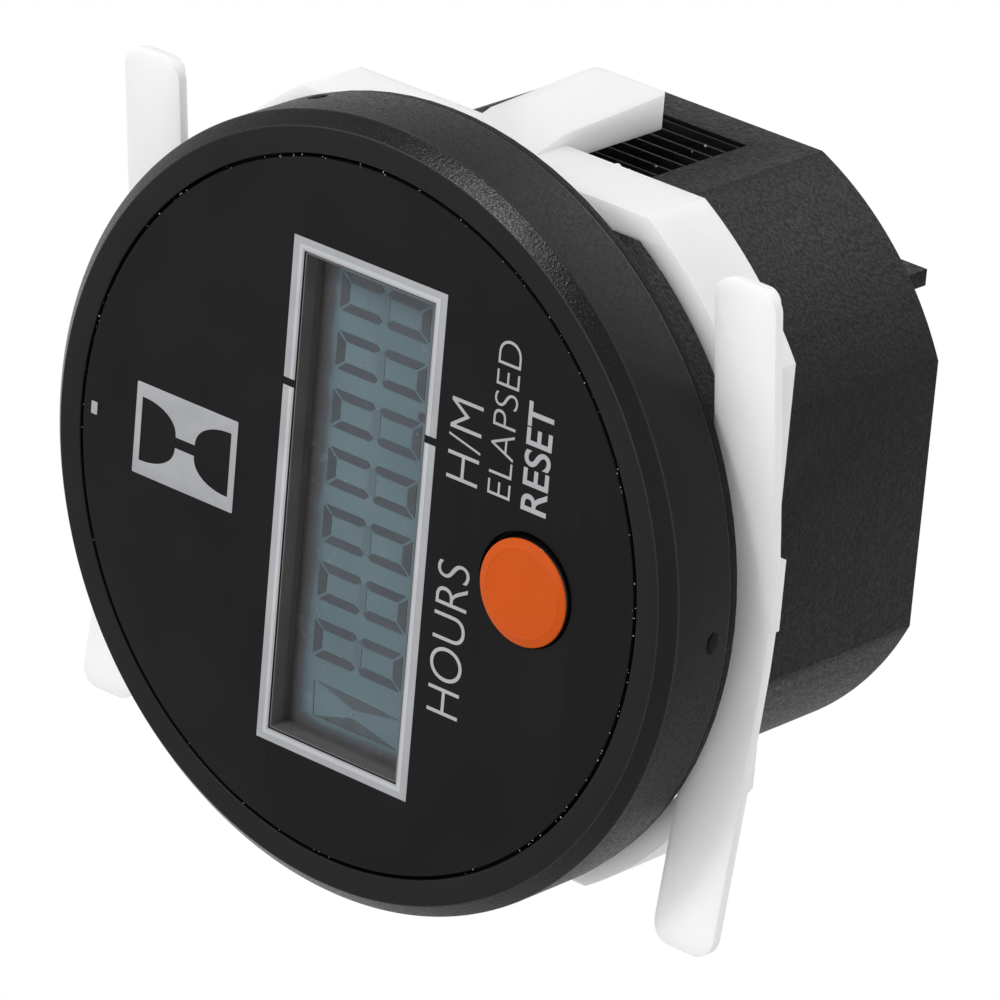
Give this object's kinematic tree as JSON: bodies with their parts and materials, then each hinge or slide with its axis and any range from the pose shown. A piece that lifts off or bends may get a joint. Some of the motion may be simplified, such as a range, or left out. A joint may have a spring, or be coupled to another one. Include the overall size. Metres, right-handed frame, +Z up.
{
  "type": "panel-mount hour meter",
  "caption": "Round panel-mount digital hour meter with a liquid crystal window, a reset button, spade terminals and a push-on ratchet mounting clip.",
  "frame": {"origin": "centre of the panel hole, on the rear face of the bezel flange that meets the panel", "axes": "+Y runs back along the body from the panel face, +Z is up when the dial is read, and the dial faces -Y"},
  "size_m": [0.06, 0.046, 0.0626],
  "materials": {
    "black_plastic": "fine spark-textured moulded black",
    "dial_black": "matt black label face with silver print",
    "clear_plastic": "clear polished polycarbonate",
    "lcd_glass": "polarised display glass",
    "reflector_film": "satin reflector film",
    "grey_plastic": "moulded grey",
    "zebra_rubber": "striped elastomer",
    "board_green": "green solder mask",
    "chip_black": "moulded epoxy",
    "steel": "zinc plated",
    "orange_plastic": "smooth moulded orange",
    "film_box_yellow": "moulded box",
    "can_blue": "shrink sleeve",
    "disc_blue": "dipped epoxy",
    "resistor_grey": "flameproof coating",
    "tinned_brass": "tin plated",
    "white_nylon": "natural white moulded nylon"
  },
  "bodies": {
    "meter": {"housing": "black_plastic", "bezel_ring": "black_plastic", "dial_plate": "dial_black", "window_lens": "clear_plastic", "lcd_glass": "lcd_glass", "lcd_reflector": "reflector_film", "lcd_holder": "grey_plastic", "zebra_strip_upper": "zebra_rubber", "zebra_strip_lower": "zebra_rubber", "display_pcb": "board_green", "tact_switch_body": "chip_black", "mcu_chip": "chip_black", "eeprom_chip": "chip_black", "crystal_can": "steel", "pin_header": "chip_black", "power_pcb": "board_green", "film_capacitor": "film_box_yellow", "electrolytic_capacitor": "can_blue", "bridge_rectifier": "chip_black", "varistor_disc": "disc_blue", "fuse_resistor": "resistor_grey", "pcb_spacer_left": "grey_plastic", "stack_screw_left": "steel", "pcb_spacer_right": "grey_plastic", "stack_screw_right": "steel", "terminal_left": "tinned_brass", "terminal_right": "tinned_brass"},
    "button": {"reset_button": "orange_plastic"},
    "switch_plunger": {"tact_switch_plunger": "grey_plastic"},
    "clip": {"mounting_clip": "white_nylon"}
  },
  "joints": [
    {"name": "reset_press", "type": "slide", "parent": "meter", "child": "button", "axis": [0, 1, 0], "range_m": [0, 0.0005], "stiffness_N_per_m": 500, "springref_m": -0.002},
    {"name": "switch_press", "type": "slide", "parent": "meter", "child": "switch_plunger", "axis": [0, 1, 0], "range_m": [0, 0.0005]},
    {"name": "clip_slide", "type": "slide", "parent": "meter", "child": "clip", "axis": [0, 1, 0], "range_m": [0, 0.0062]}
  ],
  "couplings": [
    {"joint": "switch_press", "follows": "reset_press", "ratio": 1}
  ]
}
